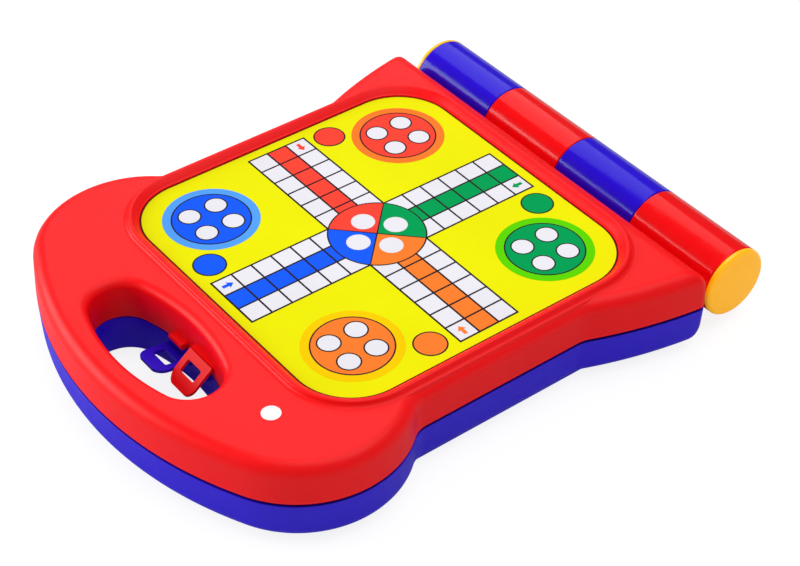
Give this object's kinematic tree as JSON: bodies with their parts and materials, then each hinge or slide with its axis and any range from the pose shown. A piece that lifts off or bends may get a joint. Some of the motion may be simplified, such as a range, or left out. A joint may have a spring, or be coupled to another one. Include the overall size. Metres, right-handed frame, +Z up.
{
  "type": "folding ludo board box",
  "caption": "Hinged carry box whose two half shells bear a ludo board, with a handle, windowed snap tongues and a barrel hinge.",
  "frame": {"origin": "under the middle of the closed box's whole outline, on the surface it lies on", "axes": "+X along the hinge barrel, +Y from the carry handle towards the hinge, +Z up out of the play board"},
  "size_m": [0.232, 0.3032, 0.0476],
  "materials": {
    "red_plastic": "satin moulded polypropylene",
    "blue_plastic": "gloss moulded polypropylene",
    "printed_card": "laminated print",
    "amber_plastic": "gloss",
    "tube_plastic": "plain extruded tube",
    "sticker_paper": "coated paper"
  },
  "bodies": {
    "lower_half": {"bottom_shell": "blue_plastic", "hinge_tube": "tube_plastic", "left_cap": "amber_plastic", "right_cap": "amber_plastic"},
    "upper_half": {"top_shell": "red_plastic", "ludo_board": "printed_card", "blank_sticker": "sticker_paper"},
    "upper_tongue": {"top_latch": "red_plastic"},
    "lower_tongue": {"bottom_latch": "blue_plastic"}
  },
  "joints": [
    {"name": "lid_hinge", "type": "hinge", "parent": "lower_half", "child": "upper_half", "pos_m": [0, 0.13356, 0.0238], "axis": [-1, 0, 0], "range_deg": [0, 180]},
    {"name": "upper_tongue_flex", "type": "hinge", "parent": "upper_half", "child": "upper_tongue", "pos_m": [0.0102, -0.10136, 0.029], "axis": [-1, 0, 0], "range_deg": [-30, 40], "stiffness_Nm_per_rad": 0.4},
    {"name": "lower_tongue_flex", "type": "hinge", "parent": "lower_half", "child": "lower_tongue", "pos_m": [-0.0102, -0.10136, 0.0186], "axis": [1, 0, 0], "range_deg": [-62, 8], "stiffness_Nm_per_rad": 0.4}
  ]
}
